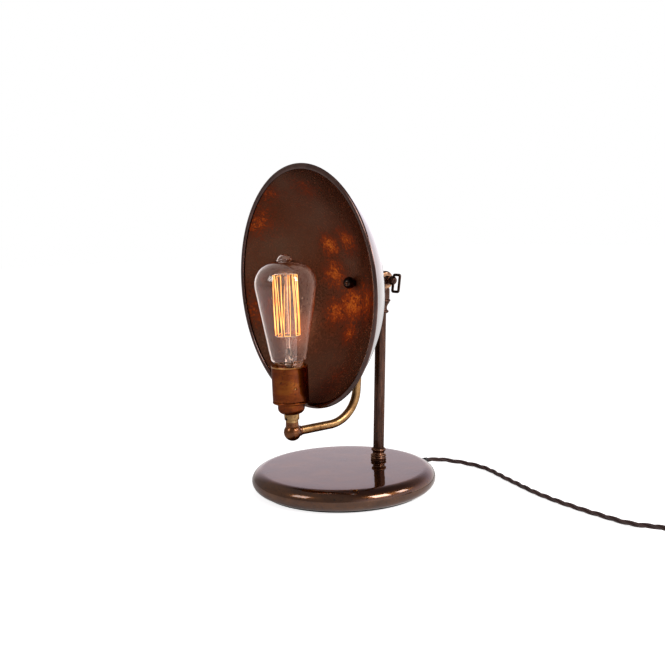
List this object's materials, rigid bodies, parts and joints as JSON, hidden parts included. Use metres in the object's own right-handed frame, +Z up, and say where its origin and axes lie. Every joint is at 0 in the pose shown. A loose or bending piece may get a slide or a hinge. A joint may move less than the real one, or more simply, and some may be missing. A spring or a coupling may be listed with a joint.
{
  "type": "table lamp",
  "caption": "Table lamp with a tilting dish shade, a bare pear bulb on a bent arm in front of it and a round weighted foot.",
  "frame": {"origin": "centre of the foot's underside, on the table", "axes": "+Z up, the dish and the bulb face -Y, the stem stands behind the middle towards +Y, and +X runs along the hinge towards the clamp screw's ring"},
  "size_m": [0.5466, 0.357, 0.3493],
  "materials": {
    "felt": "black wool felt",
    "lacquered_brass": "spun brass, dark bronze patina under gloss lacquer",
    "stem_brass": "dark bronze patina, polished",
    "aged_brass": "aged brass, satin",
    "holder_brass": "aged brass, satin, warm brown",
    "dish_brass": "spun brass with a mottled rust brown patina",
    "bright_brass": "machined brass",
    "cast_iron": "rough cast, painted",
    "zinc_steel": "zinc plated",
    "black_steel": "blackened",
    "fibre": "red vulcanised fibre",
    "bush_black": "soft black rubber",
    "cord_brown": "braided brown covering over twisted cores",
    "core_wires": "insulated cores",
    "black_plastic": "moulded, satin gloss",
    "rocker_plastic": "moulded, gloss",
    "porcelain": "glazed white",
    "bulb_glass": "clear blown glass",
    "mount_glass": "clear lead glass",
    "cap_brass": "pressed brass, bright",
    "vitrite": "black glass",
    "solder": "tin solder, dull",
    "nickel_wire": "drawn wire",
    "tie_black": "woven strap",
    "filament": "glowing carbon thread"
  },
  "bodies": {
    "stand": {"felt_pad": "felt", "base_shell": "lacquered_brass", "base_weight": "cast_iron", "foot_collar": "stem_brass", "foot_nipple": "bright_brass", "foot_washer": "zinc_steel", "foot_nut": "bright_brass", "earth_screw": "bright_brass", "cord_grip": "zinc_steel", "grip_screws": "zinc_steel", "cord_bush": "bush_black", "base_lead": "cord_brown", "stem_tube": "stem_brass", "stem_wires": "core_wires", "top_collar": "stem_brass", "knuckle_fork": "stem_brass", "fibre_washers": "fibre", "cord_run": "cord_brown", "switch_base": "black_plastic", "switch_cover": "black_plastic", "switch_contacts": "bright_brass", "cord_link": "cord_brown", "cord_coil": "cord_brown", "coil_tie": "tie_black", "cord_tail": "cord_brown", "plug_base": "black_plastic", "plug_cover": "black_plastic", "plug_pins": "bright_brass", "plug_fuse": "porcelain", "plug_screw": "zinc_steel"},
    "head": {"knuckle_tongue": "stem_brass", "arm_hub": "aged_brass", "shade_stud": "bright_brass", "cupped_washer": "aged_brass", "dish_shade": "dish_brass", "ball_nut": "stem_brass", "arm_tube": "aged_brass", "ball_elbow": "holder_brass", "head_wires": "core_wires", "holder_neck": "holder_brass", "grub_screw": "black_steel", "holder_nipple": "bright_brass", "holder_cup": "holder_brass", "holder_barrel": "holder_brass", "holder_insulator": "porcelain", "screw_shell": "cap_brass", "centre_contact": "bright_brass", "terminal_screws": "bright_brass"},
    "bulb": {"bulb_glass": "bulb_glass", "bulb_cap": "cap_brass", "cap_insulator": "vitrite", "cap_contact": "solder", "glass_mount": "mount_glass", "support_wires": "nickel_wire", "filament": "filament"},
    "key": {"clamp_screw": "stem_brass", "key_ring": "stem_brass"},
    "rocker": {"switch_rocker": "rocker_plastic"}
  },
  "joints": [
    {"name": "head_tilt", "type": "hinge", "parent": "stand", "child": "head", "pos_m": [0, 0.05785, 0.224], "axis": [1, 0, 0], "range_deg": [-80, 8]},
    {"name": "bulb_turn", "type": "hinge", "parent": "head", "child": "bulb", "pos_m": [0, -0.06427, 0.07166], "axis": [0, -0.0157, 0.9999], "range_deg": [0, 360]},
    {"name": "key_turn", "type": "hinge", "parent": "stand", "child": "key", "pos_m": [0, 0.05785, 0.224], "axis": [1, 0, 0], "range_deg": [0, 180]},
    {"name": "rocker_tilt", "type": "hinge", "parent": "stand", "child": "rocker", "pos_m": [0.353, 0.13, 0.0125], "axis": [0, 1, 0], "range_deg": [-16, 0]}
  ]
}
